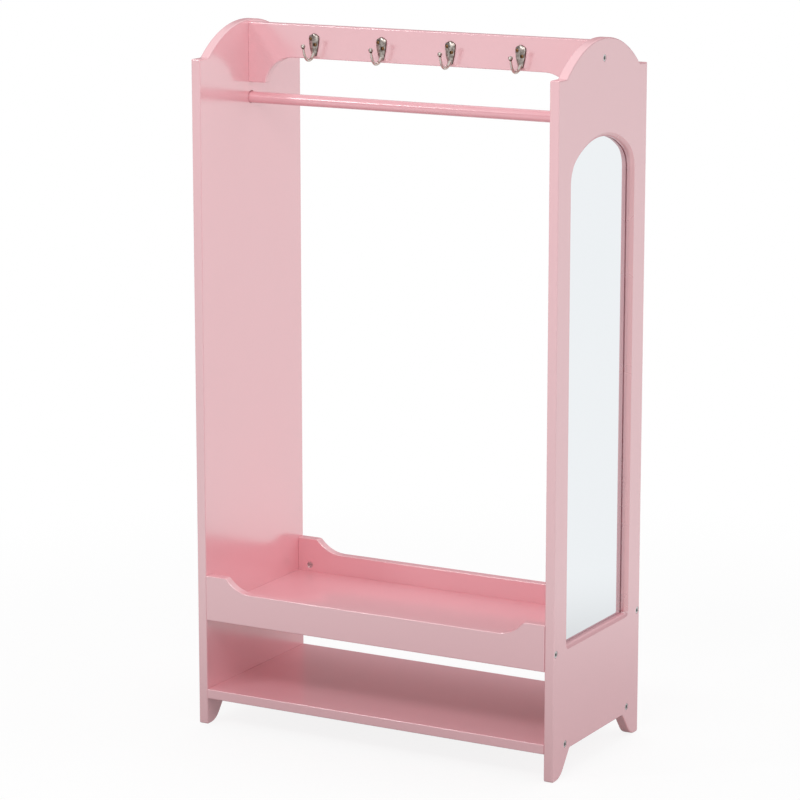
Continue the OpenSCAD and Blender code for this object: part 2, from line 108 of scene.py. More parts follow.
def inset(loop, distance):
    """Each edge of a loop moved inwards by its distance. A corner moves by the m that solves
    m . n1 = d1 and m . n2 = d2, for the inward normals n1 and n2 of the two edges it joins;
    where they are nearly one line, m lies along their sum."""
    along = np.roll(loop, -1, 0) - loop
    n2 = np.column_stack([-along[:, 1], along[:, 0]]) / np.linalg.norm(along, axis=1)[:, None]
    n1 = np.roll(n2, 1, 0)
    d2 = np.broadcast_to(distance, len(loop))
    d1 = np.roll(d2, 1)
    cross = n1[:, 0] * n2[:, 1] - n1[:, 1] * n2[:, 0]
    corner = np.abs(cross) > 0.5  # the sine of the turn
    turned1 = np.column_stack([-n1[:, 1], n1[:, 0]])
    turned2 = np.column_stack([n2[:, 1], -n2[:, 0]])
    exact = (d1[:, None] * turned2 + d2[:, None] * turned1) / np.where(corner, cross, 1)[:, None]
    along_sum = (n1 + n2) * ((d1 + d2) / 2 / (1 + (n1 * n2).sum(1)))[:, None]
    return loop + np.where(corner[:, None], exact, along_sum)


# %% [markdown]
# ## Shells
# Every piece is a closed shell made of three kinds of surface. A skin runs through a stack of
# rings with equal counts of points, like a profile carried along a path. A cap is a flat face
# with any number of holes in it, and a relief is such a face lifted to a height at each point.
# Boolean cuts would give the same holes, but these are exact and leave no slivers.

# %% The shell class
# what the triangulation returns: triangles or larger faces, with the holes left out of both
TRIANGLES, FACES = 2, 5
# points nearer than the first are one, and a ring as small as the second stands for a point
SAME_POINT, NO_RADIUS = 1e-8, 1e-7


class Shell:
    """The skins, caps and reliefs of one piece, gathered as arrays of points and lists of faces.
    Each face carries how far it is worked. On a board 1 is a cut edge, and more than 1 an edge
    painted a deeper red as shade. On a hook 1 is polished, and less than 0 a stained hollow; the
    ball's lower polish and the neck's stain are partly painted shade."""

    def __init__(self):
        self.points, self.faces, self.worked, self.count = [], [], [], 0

    def add(self, points, faces, worked):
        self.faces += [[k + self.count for k in face] for face in faces]
        self.worked += np.broadcast_to(worked, len(faces)).tolist()
        self.points.append(points)
        self.count += len(points)

    def skin(self, rings, worked=0.0):
        """Four-sided faces between each ring of an array (rings, points, 3) and the next. worked
        is one number, or one for each face round the ring."""
        rings = np.asarray(rings)
        level, around = np.meshgrid(*(np.arange(n) for n in rings.shape[:2]), indexing="ij")
        here = level * rings.shape[1] + around
        beside = np.roll(here, -1, 1)
        quads = np.stack([here[:-1], beside[:-1], beside[1:], here[1:]], -1)
        worked = np.broadcast_to(worked, quads.shape[:2]).ravel()
        self.add(rings.reshape(-1, 3), quads.reshape(-1, 4).tolist(), worked)

    def fill(self, loops, spare, kind):
        """The plane inside the first loop and outside the others, whose points come out flat."""
        rims, first = [], 0
        for loop in loops:
            rims.append(list(range(first, first + len(loop))))
            first += len(loop)
        corners = [Vector(p) for p in np.vstack([*loops, *spare])]
        flat, _, faces, *_ = delaunay_2d_cdt(corners, [], rims, kind, SAME_POINT)
        return np.array(flat), faces

    def cap(self, loops, depth, worked=0.0):
        """A flat face at one depth, bounded by the first loop and pierced by the rest."""
        flat, faces = self.fill(loops, [], FACES)
        self.add(np.column_stack([flat, np.full(len(flat), depth)]), faces, worked)

    def relief(self, loops, height, spare=(), worked=0.0):
        """A lifted face: triangles between the loops and the spare points, each point at depth
        height(points)."""
        flat, faces = self.fill(loops, spare, TRIANGLES)
        self.add(np.column_stack([flat, height(flat)]), faces, worked)


def level_rings(loops, depths):
    """Stacks loops of (u, v) points into rings of (u, v, depth) points."""
    return np.stack([np.column_stack([p, np.full(len(p), d)]) for p, d in zip(loops, depths)])


def turned(centre, profile, start=0.0, sense=1, points=32):
    """Rings of a turned surface: for each (radius, depth) of the profile, a circle of that
    radius about the centre, at start + sense depth."""
    loops = [circle(centre, max(radius, NO_RADIUS), points) for radius, _ in profile]
    return level_rings(loops, [start + sense * depth for _, depth in profile])


# %% Turn shells into a finished piece
SHARP_TURN = math.radians(38)
WELD, SLIVER = 0.002 * MM, 0.001 * MM


def piece(name, parts, finish, nodes, body="frame"):
    """Puts each (shell, place) in the world, welds the seams, points the faces outwards and
    hands the piece over in the place of its CAD nodes."""
    world, faces, worked, count = [], [], [], 0
    for shell, place in parts:
        points = np.stack(place(*np.vstack(shell.points).T), -1)
        faces += [[k + count for k in face] for face in shell.faces]
        worked += shell.worked
        world.append(points)
        count += len(points)
    mesh = bpy.data.meshes.new(name)
    mesh.from_pydata(np.vstack(world), [], faces)
    mark = mesh.attributes.new("worked", "FLOAT", "FACE")
    mark.data.foreach_set("value", np.array(worked, float))
    welded = bmesh.new()
    welded.from_mesh(mesh)
    bmesh.ops.remove_doubles(welded, verts=welded.verts, dist=WELD)
    bmesh.ops.dissolve_degenerate(welded, edges=welded.edges, dist=SLIVER)
    loose = [v for v in welded.verts if not v.link_faces]
    bmesh.ops.delete(welded, geom=loose, context="VERTS")
    bmesh.ops.recalc_face_normals(welded, faces=welded.faces)
    open_edges = sum(not e.is_manifold for e in welded.edges)
    welded.to_mesh(mesh)
    welded.free()
    mesh.shade_smooth()
    mesh.set_sharp_from_angle(angle=SHARP_TURN)
    mesh.materials.append(finish)
    obj = bpy.data.objects.new(name, mesh)
    scene.collection.objects.link(obj)
    shading = obj.modifiers.new("Flat faces shade flat", "WEIGHTED_NORMAL")
    shading.keep_sharp = True
    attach(obj, body)
    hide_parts(*nodes)
    print(f"{name}: {len(mesh.polygons)} faces, {open_edges} open edges")
    return obj


# %% Places on the unit
def standing_side(side, out=0.0):
    """A side panel's own axes: u is depth, v is height and w runs out from its inner face."""
    return lambda u, v, w: (side * (HALF_IN + out + w), u, v)


def facing_front(front_y):
    """A rail's own axes: u is width, v is height and w runs back from its front face."""
    return lambda u, v, w: (u, front_y + w, v)


def lying_flat(under_z):
    """A floor's own axes: u is width, v is depth and w runs up from its underside."""
    return lambda u, v, w: (u, v, under_z + w)


# %% [markdown]
# ## Shader sums
# A finish is a handful of node sums: a bit more roughness here, a slightly deeper colour there.
# Writing them as Python expressions keeps them readable, so one small class wraps a socket and
# gives it the operators. Every other node comes from one method of the recipe it belongs to.


# %% Sockets that can be added and multiplied
class Wire:
    """A node's output. Its operators add Math nodes, and numbers may stand on either side."""

    def __init__(self, recipe, socket):
        self.recipe, self.socket = recipe, socket

    def math(self, operation, first, second):
        return self.recipe.node("ShaderNodeMath", {"operation": operation}, {0: first, 1: second})

    def __add__(self, other):
        return self.math("ADD", self, other)

    def __mul__(self, other):
        return self.math("MULTIPLY", self, other)

    def __rsub__(self, other):
        return self.math("SUBTRACT", other, self)

    def __sub__(self, other):
        return self.math("SUBTRACT", self, other)

    __radd__, __rmul__ = __add__, __mul__


class Recipe:
    """The node tree of one finish."""

    def __init__(self, owner):
        owner.use_nodes = True
        self.tree = owner.node_tree
        self.tree.nodes.clear()

    def node(self, kind, settings=None, sockets=None, output=0):
        """Adds a node, sets its settings and then the values or links of its sockets."""
        made = self.tree.nodes.new(kind)
        for key, value in (settings or {}).items():
            if key == "stops":
                for stop, (position, colour) in zip(made.color_ramp.elements, value):
                    stop.position, stop.color = position, colour
            else:
                setattr(made, key, value)
        for key, value in (sockets or {}).items():
            if isinstance(value, Wire):
                self.tree.links.new(value.socket, made.inputs[key])
            else:
                made.inputs[key].default_value = value
        return Wire(self, made.outputs[output]) if made.outputs else None

    def place(self):
        return self.node("ShaderNodeTexCoord", output="Object")

    def noise(self, scale, detail=2.0, roughness=0.5, vector=None):
        sockets = {"Scale": scale, "Detail": detail, "Roughness": roughness}
        return self.node("ShaderNodeTexNoise", None, {"Vector": vector or self.place(), **sockets})

    def worked(self):
        return self.node("ShaderNodeAttribute", {"attribute_name": "worked"}, output="Fac")

    def mix(self, first, second, factor):
        settings = {"data_type": "RGBA"}
        return self.node("ShaderNodeMix", settings, {0: factor, 6: first, 7: second}, output=2)

    def bump(self, height, strength, distance):
        sockets = {"Strength": strength, "Distance": distance, "Height": height}
        return self.node("ShaderNodeBump", None, sockets)


def finish(name, build):
    """A material whose Principled shader gets the sockets that build(recipe) returns."""
    material = bpy.data.materials.new(name)
    recipe = Recipe(material)
    shader = recipe.node("ShaderNodeBsdfPrincipled", None, build(recipe))
    recipe.node("ShaderNodeOutputMaterial", None, {"Surface": shader})
    return material


# %% [markdown]
# ## The pink paint
# The boards are fibreboard under a sprayed pink lacquer. It is glossiest on the side panels,
# where the rod and the hook rail show mirrored in the left one. An even colour would look like
# plastic. So the colour drifts by a percent or two, the cut edges take the paint a little darker
# and rougher, and a very fine orange peel in the bump breaks up the reflections. Round the
# mirror's opening and on the slopes inside the feet the paint turns a deep red: painted shade,
# where those walls get little light.

# %% Mix the paint
PINK = (0.95, 0.485, 0.535, 1)
PINK_DEEP = (0.91, 0.42, 0.465, 1)
# the deep red painted as shade round the mirror's opening and on the slopes inside the feet
PINK_SHADE = (0.86, 0.22, 0.25, 1)
PEEL_FINE, PEEL_COARSE = 650, 60


def painted(gloss, density=2.95):
    """Sockets of the paint: gloss is the roughness on the open face, and density its IOR. As the
    worked mark passes 1, the colour turns to the deep red of the painted shade."""

    def build(recipe):
        # edge is the worked mark: 1 on cut edges, and past 1 the painted shade round the opening
        # and in the feet
        drift, edge = recipe.noise(5, 3), recipe.worked()
        peel = recipe.noise(PEEL_FINE, 2) + recipe.noise(PEEL_COARSE, 2) * 0.6
        coat = recipe.mix(PINK, PINK_DEEP, drift * 0.25 + edge * 0.12)
        return {
            "Base Color": recipe.mix(coat, PINK_SHADE, edge - 1),
            "Roughness": gloss + drift * 0.05 + edge * 0.06,
            "IOR": density,
            "Normal": recipe.bump(peel, 0.05, 0.2 * MM),
        }

    return build


board_paint = finish("Pink lacquer on board", painted(0.17))
panel_paint = finish("Pink lacquer on the side panels", painted(0.16, 3.25))
rod_paint = finish("Pink lacquer on the rod", painted(0.21, 2.0))
backing_paint = finish("Pink lacquer on the thin board", painted(0.3))

# %% [markdown]
# ## Mirror and metals
# The mirror is silvered glass, so it is a metal with hardly any roughness, a shade under white.
# The hook plates are cast and antiqued: grey nickel with brown left in the hollows, while the
# prong and its ball are polished. One material does both, with the worked mark to tell them
# apart. The ball is polished less than the prong, and the neck between them is stained: a
# darkening that is partly painted shade. The fittings are zinc-plated, the hook screws are aged
# brass, and the dowels are beech.


# %% Mix the mirror, the metals and the beech
def silvered(recipe):
    haze = recipe.noise(2.2, 1)
    return {
        "Base Color": recipe.mix((0.82, 0.855, 0.88, 1), (0.865, 0.89, 0.91, 1), haze),
        "Metallic": 1.0,
        "Roughness": 0.012 + haze * 0.01,
    }


def antiqued(recipe):
    polish_and_shade = recipe.worked()
    patina = recipe.noise(260, 4, 0.6)
    blotch = recipe.node(
        "ShaderNodeValToRGB",
        {"stops": [(0.4, (0, 0, 0, 1)), (0.62, (1, 1, 1, 1))]},
        {0: patina},
    )
    cast = recipe.mix((0.22, 0.185, 0.165, 1), (0.54, 0.49, 0.45, 1), blotch)
    # the stain at the neck and the ball's lower polish are partly painted shade
    stain_and_shade = recipe.mix(cast, (0.12, 0.075, 0.06, 1), 0 - polish_and_shade)
    return {
        "Base Color": recipe.mix(stain_and_shade, (0.6, 0.55, 0.5, 1), polish_and_shade),
        "Metallic": 1.0,
        "Roughness": (1 - polish_and_shade) * 0.18 + patina * 0.12 + 0.1,
        "Normal": recipe.bump(patina, 0.25, 0.15 * MM),
    }


def plated(recipe):
    grain = recipe.noise(900, 3)
    return {
        "Base Color": recipe.mix((0.52, 0.52, 0.515, 1), (0.76, 0.755, 0.75, 1), grain),
        "Metallic": 1.0,
        "Roughness": 0.26 + grain * 0.14,
    }


def aged_brass(recipe):
    tarnish = recipe.noise(1100, 3)
    return {
        "Base Color": recipe.mix((0.11, 0.055, 0.028, 1), (0.30, 0.165, 0.07, 1), tarnish),
        "Metallic": 1.0,
        "Roughness": 0.3 + tarnish * 0.15,
    }


def bare_beech(recipe):
    along = recipe.node(
        "ShaderNodeMapping", None, {"Vector": recipe.place(), "Scale": (12, 190, 190)}
    )
    grain = recipe.noise(1, 4, 0.6, along)
    return {
        "Base Color": recipe.mix((0.60, 0.40, 0.21, 1), (0.78, 0.60, 0.38, 1), grain),
        "Roughness": 0.5 + grain * 0.15,
        "Normal": recipe.bump(grain, 0.2, 0.1 * MM),
    }


mirror_finish = finish("Silvered glass", silvered)
hook_finish = finish("Antiqued and polished nickel", antiqued)
zinc = finish("Zinc plate", plated)
brass = finish("Aged brass", aged_brass)
beech = finish("Bare beech", bare_beech)
print(f"{len(bpy.data.materials)} materials")

# %% [markdown]
# ## Boards with softened edges
# Boards for children are sanded round at every edge that a hand can reach, here to about 2 mm,
# and the paint makes a bright line of that rounding. Where a board's end meets another board the
# edge is only just broken, which shows as a fine dark seam. So an edge's profile is two quarter
# circles with a flat between them, squashed to a hair's width at a joint.

# %% A board from its outline
ARRIS = 1.8 * MM
SEAM = 0.3 * MM
ON_PLANE = 0.01 * MM
ARRIS_STEPS = 4


def edge_profile(radius, thick, steps=ARRIS_STEPS):
    """(share of the inset, depth) pairs: (1 - sin a, r (1 - cos a)) for a up to 90 degrees at
    the near face, then the same mirrored at the far one."""
    a = np.radians(np.linspace(0, 90, steps + 1))
    share, depth = 1 - np.sin(a), radius * (1 - np.cos(a))
    return np.concatenate([share, share[::-1]]), np.concatenate([depth, thick - depth[::-1]])


def board(outline, arris=ARRIS, thick=BOARD, near=(), far=(), ends=(), edge_cut_and_shade=1.0,
          window=None, window_cut_and_shade=1.0):
    """A closed board. near and far are the holes in its two faces, each a centre and a turned
    profile. An edge that lies on one of the (axis, distance) planes of ends is a joint. window is
    a stack of rings through the board, from the near face to the far one. The two edge marks say
    how far the edges of the outline and of the window are worked, and past 1 how deep the painted
    shade on them is."""
    shell = Shell()
    share, depths = edge_profile(arris, thick)
    width = np.full(len(outline), arris)
    for axis, distance in ends:
        at = outline[:, axis]
        on = np.abs(np.abs(at) - distance) < ON_PLANE
        width[on & np.roll(on, -1) & (at * np.roll(at, -1) > 0)] = min(SEAM, arris)
    loops = [inset(outline, width * k) for k in share]
    shell.skin(level_rings(loops, depths), worked=edge_cut_and_shade)
    rim = {0: [], thick: []}
    if window is not None:
        shell.skin(window, worked=window_cut_and_shade)
        rim = {0: [window[0][:, :2]], thick: [window[-1][:, :2]]}
    for depth, sense, holes in ((0, 1, near), (thick, -1, far)):
        round_rims = [circle(centre, profile[0][0]) for centre, profile in holes]
        shell.cap([loops[0], *rim[depth], *round_rims], depth)
        for centre, profile in holes:
            shell.skin(turned(centre, profile, depth, sense), worked=1.0)
    return shell


def blind_hole(radius, deep, rim=0.35 * MM):
    """Profile of a drilled hole: a small worn rim, a straight wall and a flat bottom."""
    return [(radius + rim, 0), (radius, rim), (radius, deep), (0, deep)]


# %% [markdown]
# ## Side panels
# A side panel is cut from one board: two feet, straight edges, square shoulders and an arched
# top. The bolts are sunk in its outer face and the rod turns in a blind socket in its inner
# face. Both panels come from the same outline, as they would from one template in the workshop.

# %% The panel's outline
SHOULDER_Z = 1020 * MM
FOOT_Z = 39 * MM


def panel_outline():
    """Right half from the feet up: a hollow, the foot's belly and toe, the shoulder's corner, a
    small hollow and the top's arc, whose radius is (c c + r r) / 2 r for half chord c, rise r."""
    slope, sole, belly, hollow = 52, 10 * MM, 30 * MM, 5 * MM
    toe, corner, ledge, nook = 3 * MM, 2 * MM, 25 * MM, 8 * MM
    reach = sole + belly * math.sin(math.radians(slope))
    rise = belly * (1 - math.cos(math.radians(slope)))
    foot = reach + (FOOT_Z - rise) / math.tan(math.radians(slope))
    chord, crown = HALF_D - ledge, TOP_Z - SHOULDER_Z
    radius = (chord**2 + crown**2) / (2 * crown)
    up = SHOULDER_Z + nook - (TOP_Z - radius)
    across = math.sqrt((radius + nook) ** 2 - up**2)
    meet = math.degrees(math.atan2(up, across))
    start = HALF_D - foot - hollow * math.tan(math.radians(slope / 2))
    return both_halves(
        [
            arc((start, FOOT_Z - hollow), hollow, 90, 90 - slope, 6),
            arc((HALF_D - sole, belly), belly, 270 - slope, 270, 14),
            arc((HALF_D - toe, toe), toe, 270, 360, 6),
            arc((HALF_D - corner, SHOULDER_Z - corner), corner, 0, 90, 5),
            arc((across, SHOULDER_Z + nook), nook, 270, 180 + meet, 7),
            arc((0, TOP_Z - radius), radius, meet, 90, 26),
        ]
    )


def foot_shade_marks(outline):
    """How far each edge is worked: as a cut edge, and more on the slopes inside the feet, for the
    painted shade there.
    """
    slope_top, slope_foot, slope_shade = FOOT_Z - 1 * MM, HALF_D - 12 * MM, 1.6
    inside = (outline[:, 1] < slope_top) & (np.abs(outline[:, 0]) < slope_foot)
    return np.where(inside, slope_shade, 1.0)


side_outline = panel_outline()
print(f"panel outline: {len(side_outline)} points, {side_outline[:, 1].max():.4f} high")

# %% [markdown]
# ## The mirror's opening
# The opening has straight sides and a flattened arch drawn with three centres. A round-over
# bit has worked a 6 mm lip along its outer edge, and a rebate behind holds the glass. The lip is
# a ring of the same opening grown outwards step by step, which keeps it even round the arch.
# Between the lip and the pane a fine groove is left, the dark seam that runs round the glass.

# %% Rings of the opening
OPEN_HALF, OPEN_LOW, OPEN_TOP = HALF_D - 45.5 * MM, 196.5 * MM, 926 * MM
HAUNCH_R, ARCH_RISE, OPEN_CORNER = 39 * MM, 57.5 * MM, 1.5 * MM
LIP, LIP_END = 6 * MM, 50
REBATE_OUT, REBATE_DEEP = 8.5 * MM, 6 * MM
GLASS, SILVERED, GROOVE = 3 * MM, 1.8 * MM, 2.2 * MM


def opening(grow, corner):
    """Right half from the sill up: a corner, a haunch of radius r and the crown, all grown
    outwards. For the haunch's centre at y and a rise h above it, the crown's radius is
    (y y + h h - r r) / 2 (h - r)."""
    spring, haunch_y = OPEN_TOP - ARCH_RISE, OPEN_HALF - HAUNCH_R
    crown_r = (haunch_y**2 + ARCH_RISE**2 - HAUNCH_R**2) / (2 * (ARCH_RISE - HAUNCH_R))
    crown_z = OPEN_TOP - crown_r
    meet = math.degrees(math.atan2(spring - crown_z, haunch_y))
    corner_at = (OPEN_HALF + grow - corner, OPEN_LOW - grow + corner)
    return both_halves(
        [
            arc(corner_at, corner, 270, 360, 6),
            arc((haunch_y, spring), HAUNCH_R + grow, 0, meet, 14),
            arc((0, crown_z), crown_r + grow, meet, 90, 14)[1:],
        ]
    )


def opening_rings():
    """From the rebate at the inner face, past the groove above the pane, to the lip at the outer
    face. Over the lip the opening grows by r (1 - cos a) / (1 - cos e) while it rises to the face
    as r (1 - sin a / sin e) falls. It ends at e, short of 90 degrees, so its edge stays crisp.
    At the sill the groove is only a seam."""
    a = np.radians([0, 9, 18, 27, 36, 44, LIP_END - 0.5, LIP_END])
    out, left = (1 - np.cos(a)) / (1 - np.cos(a[-1])), 1 - np.sin(a) / np.sin(a[-1])
    pane_z = GLASS + SILVERED
    grow = [REBATE_OUT, REBATE_OUT, GROOVE, GROOVE, 0.0, *(LIP * out)]
    depth = [0.0, pane_z, pane_z, REBATE_DEEP, REBATE_DEEP, *(BOARD - LIP * left)]
    corner = [OPEN_CORNER + g * (d > BOARD / 2) for g, d in zip(grow, depth)]
    rings = level_rings([opening(g, c) for g, c in zip(grow, corner)], depth)
    groove = slice(2, 4)
    rings[groove, :, 1] = np.maximum(rings[groove, :, 1], OPEN_LOW - SEAM)
    return rings


def opening_shade_marks(ring):
    """How far each edge round the opening is worked: 1 for a cut edge, and more above the sill
    from the crown to the back, a painted shade on the walls that face the front. An edge counts
    from its further end."""
    sill, gathers, deepest_shade = 205 * MM, (-20 * MM, 60 * MM), 0.55
    across, up = np.maximum(ring[:, :2], np.roll(ring[:, :2], -1, 0)).T
    return 1 + np.interp(across, gathers, (0, deepest_shade)) * (up > sill)


# %% Cut the two side panels
BOLT_SINK = blind_hole(5.2 * MM, 6.5 * MM)
RAIL_BOLT_Z, TRAY_BOLT_Z = 1039 * MM, 192 * MM
SHELF_BOLT_Z, SHELF_BOLT_Y = 48.5 * MM, 105 * MM
ROD_Z, ROD_R, ROD_SAG = 950 * MM, 8.5 * MM, 0.6 * MM
ROD_SOCKET = blind_hole(9.6 * MM, 8 * MM, 0.2 * MM)

bolt_places = [(0, RAIL_BOLT_Z)]
bolt_places += [(s * (HALF_D - BOARD / 2), TRAY_BOLT_Z) for s in (-1, 1)]
bolt_places += [(s * SHELF_BOLT_Y, SHELF_BOLT_Z) for s in (-1, 1)]
bolt_sinks = [(place, BOLT_SINK) for place in bolt_places]
rod_socket = [((0, ROD_Z + ROD_SAG), ROD_SOCKET)]
feet_shade_marks, mirror_rings = foot_shade_marks(side_outline), opening_rings()
mirror_shade_marks = opening_shade_marks(mirror_rings[0])

# the slopes inside the feet and the walls round the mirror's opening get a painted shade in deep
# red
for name, side, window in (("left", -1, None), ("right", 1, mirror_rings)):
    panel = board(side_outline, near=rod_socket, far=bolt_sinks, edge_cut_and_shade=feet_shade_marks,
                  window=window, window_cut_and_shade=mirror_shade_marks)
    node = f"{name}_side_panel"
    piece(f"{name}_panel", [(panel, standing_side(side))], panel_paint, [node])

# %% [markdown]
# ## Hook rail, tray and shelf
# These boards stop at the panels, so their ends are joints. The hook rail's brackets and the
# tray rails' ears are hollowed with a large radius. The ears' tips are eased until they feel
# soft. Each barrel nut sits in a hole that opens where it shows least.

# %% Outlines of the rails
NUT_X = HALF_IN - 21 * MM
NUT_HOLE = blind_hole(5.1 * MM, 12.6 * MM)
JOINT_ENDS = ((0, HALF_IN),)


def hook_rail_outline():
    """Right half: the bracket's hollow, its eased toe and the square end against the panel."""
    low, top, drop, radius = 1014 * MM, 1064 * MM, 40.5 * MM, 50 * MM
    reach, eased = 78 * MM, 2.1 * MM
    centre = (HALF_IN - reach, low - radius)
    end = math.degrees(math.asin((radius - drop) / radius))
    hollow = arc(centre, radius, 90, end, 22)
    toe = rounded(hollow[-2], hollow[-1], (HALF_IN, low - drop), eased, 5)
    return both_halves([hollow[:-1], toe, [(HALF_IN, low - drop), (HALF_IN, top)]])


def tray_rail_outline():
    """Right half: the square end, the eased tip of the ear and the hollow down to the middle."""
    low, mid, ear, radius = 165 * MM, 214 * MM, 235 * MM, 55 * MM
    reach, eased, clear = 35 * MM, 7 * MM, 0.3 * MM
    start = math.degrees(math.asin((radius - (ear - mid)) / radius))
    centre = (HALF_IN - reach - radius * math.cos(math.radians(start)), mid + radius)
    hollow = arc(centre, radius, -start, -90, 18)
    tip = rounded((HALF_IN, ear), hollow[0], hollow[1], eased, 7)
    rest = hollow[hollow[:, 0] < tip[-1, 0] - clear]
    return both_halves([[(HALF_IN, low), (HALF_IN, ear)], tip, rest])


# %% Cut the rails
nuts = [((s * NUT_X, TRAY_BOLT_Z), NUT_HOLE) for s in (-1, 1)]
rail_nuts = [((s * NUT_X, RAIL_BOLT_Z), NUT_HOLE) for s in (-1, 1)]
hook_rail = board(hook_rail_outline(), far=rail_nuts, ends=JOINT_ENDS)
front_rail = board(tray_rail_outline(), far=nuts, ends=JOINT_ENDS)
back_rail = board(tray_rail_outline(), near=nuts, ends=JOINT_ENDS)

for name, shell, front, node in (
    ("hook_rail", hook_rail, -BOARD / 2, "top_rail"),
    ("front_rail", front_rail, -HALF_D, "tray_front_rail"),
    ("back_rail", back_rail, HALF_D - BOARD, "tray_back_rail"),
):
    piece(name, [(shell, facing_front(front))], board_paint, [node])


# %% Cut the tray's floor and the shelf
def oblong(half_u, half_v, corner=0.0):
    """A rectangle, its corners left square or rounded."""
    if not corner:
        return np.array([(1, -1), (1, 1), (-1, 1), (-1, -1)]) * (half_u, half_v)
    turns = ((-1, 270, 360), (1, 0, 90))
    return both_halves([arc((half_u - corner, s * (half_v - corner)), corner, start, stop, 5)
                        for s, start, stop in turns])


FLOOR_Z, SHELF_Z = 167 * MM, 41 * MM
floor_half = HALF_D - BOARD
tray_floor = board(oblong(HALF_IN, floor_half), ends=((0, HALF_IN), (1, floor_half)))
shelf_nuts = [((s * NUT_X, t * SHELF_BOLT_Y), NUT_HOLE) for s in (-1, 1) for t in (-1, 1)]
shelf = board(oblong(HALF_IN, HALF_D), near=shelf_nuts, ends=JOINT_ENDS)
for name, shell, under, node in (
    ("floor_board", tray_floor, FLOOR_Z, "tray_floor"),
    ("shoe_shelf", shelf, SHELF_Z, "bottom_shelf"),
):
    piece(name, [(shell, lying_flat(under))], board_paint, [node])

# %% [markdown]
# ## The rod
# The rod is turned, with a small chamfer at each end, and its lacquer carries one long highlight.
# A profile of radius against length, spun about its axis, is all it needs.

# %% Turn the rod
ROD_HALF, ROD_SPANS = 295 * MM, 8


def rod_profile():
    """(radius, place along the rod): the end's middle, an eased chamfer, the length, and back."""
    half = [(0, 0), (ROD_R - 1 * MM, 0), (ROD_R - 0.3 * MM, 0.6 * MM), (ROD_R, 1.3 * MM)]
    other = [(radius, 2 * ROD_HALF - depth) for radius, depth in half[::-1]]
    middle = [(ROD_R, 2 * ROD_HALF * k / ROD_SPANS) for k in range(1, ROD_SPANS)]
    return half + middle + other


rod = Shell()
rod.skin(turned((0, ROD_Z), rod_profile(), -ROD_HALF, points=64))
along_x = lambda u, v, w: (w, u, v)
piece("rod", [(rod, along_x)], rod_paint, ["hanging_rod"], body="rod")

# %% [markdown]
# ## Mirror glass, backing and clips
# The glass drops into the rebate from inside, a thin painted board goes over it, and ten small
# steel clips are screwed down round the edge. None of this shows from the front, but it does
# from the inner side, so it is made as it would be put together. What mirrors is the silver at
# the back of the glass. A clear slab in front of it would be truer and slow to render, so the
# pane is thinner by the depth at which the silver seems to lie, which gives the dark seam that
# such a mirror has along its frame.

# %% The glass and the board behind it
PANE_OUT, PANE_CORNER = 8 * MM, 1 * MM
pane = opening(PANE_OUT, PANE_CORNER)
glass = board(pane, arris=0.3 * MM, thick=SILVERED)
backing = board(pane, arris=0.5 * MM, thick=GLASS)
piece("glass", [(glass, standing_side(1, GLASS))], mirror_finish, ["mirror_glass"])
piece("backing", [(backing, standing_side(1))], backing_paint, ["mirror_backing"])


# %% Screw heads with a cross
# shares of the head's radius, and the height of the cross's floor as a share of the head's
DOME, CROSS_LONG, CROSS_WIDE, CROSS_TAPER, CROSS_FLOOR = 0.94, 0.52, 0.11, 0.7, 0.4


def cross_loop(long, wide):
    """A plus sign of twelve points: arms of half length long and half width wide."""
    return np.array([(wide, -long), (wide, -wide), (long, -wide), (long, wide), (wide, wide),
                     (wide, long), (-wide, long), (-wide, wide), (-long, wide), (-long, -wide),
                     (-wide, -wide), (-wide, -long)])


def screw(radius, high, shank, deep):
    """A domed head on a plain shank. The dome's height is h sqrt(1 - (d r / R)^2) with d the
    share DOME, over a cross cut half way down, and w = 0 lies under the head."""
    shell = Shell()

    def dome(p):
        return high * np.sqrt(1 - (DOME * np.linalg.norm(p, axis=1) / radius) ** 2)

    cross = cross_loop(CROSS_LONG * radius, CROSS_WIDE * radius)
    foot, foot_w = cross * CROSS_TAPER, CROSS_FLOOR * high
    spare = np.vstack([circle((0, 0), radius * k, 20) for k in (0.92, 0.8, 0.65)])
    rim = circle((0, 0), radius, 28)
    shell.relief([rim, cross], dome, [spare])
    shell.skin(np.stack([np.column_stack([cross, dome(cross)]),
                         np.column_stack([foot, np.full(len(foot), foot_w)])]))
    shell.cap([foot], foot_w)
    seat, tip = [(radius, 0), (shank, 0)], [(shank, shank - deep), (0, -deep)]
    shell.skin(turned((0, 0), [(radius, dome(rim[:1])[0]), *seat, *tip], points=28))
    return shell


# %% Clips and their screws
CLIP_T, CLIP_IN, CLIP_OUT, CLIP_W = 1.2 * MM, 7 * MM, 9 * MM, 8 * MM
CLIP_EASED, CLIP_HOLE_R, HOLE_OUT = 0.25 * MM, 1.65 * MM, 4.5 * MM
HAUNCH_TURN, CROSS_TURN = math.radians(55), 0.6


def clip_places():
    """Each clip's foot on the rebate's edge and the turn of its length: four up each side, and
    one on each haunch of the arch."""
    spring, clear = OPEN_TOP - ARCH_RISE, 25 * MM
    rows = np.linspace(OPEN_LOW + clear, spring - clear, 4)
    edge, haunch = OPEN_HALF + REBATE_OUT, HAUNCH_R + REBATE_OUT
    haunch_y = OPEN_HALF - HAUNCH_R + haunch * math.cos(HAUNCH_TURN)
    haunch_z = spring + haunch * math.sin(HAUNCH_TURN)
    right = [(edge, z, 0.0) for z in rows] + [(haunch_y, haunch_z, HAUNCH_TURN)]
    return [(s, *spot) for s in (1, -1) for spot in right]


def on_clip(side, y, z, turn, out=0.0):
    """A clip's own axes: u runs outwards from the rebate's edge and w into the unit."""
    c, s = math.cos(turn), math.sin(turn)
    return lambda u, v, w: (HALF_IN - out - w, side * (y + u * c - v * s), z + u * s + v * c)


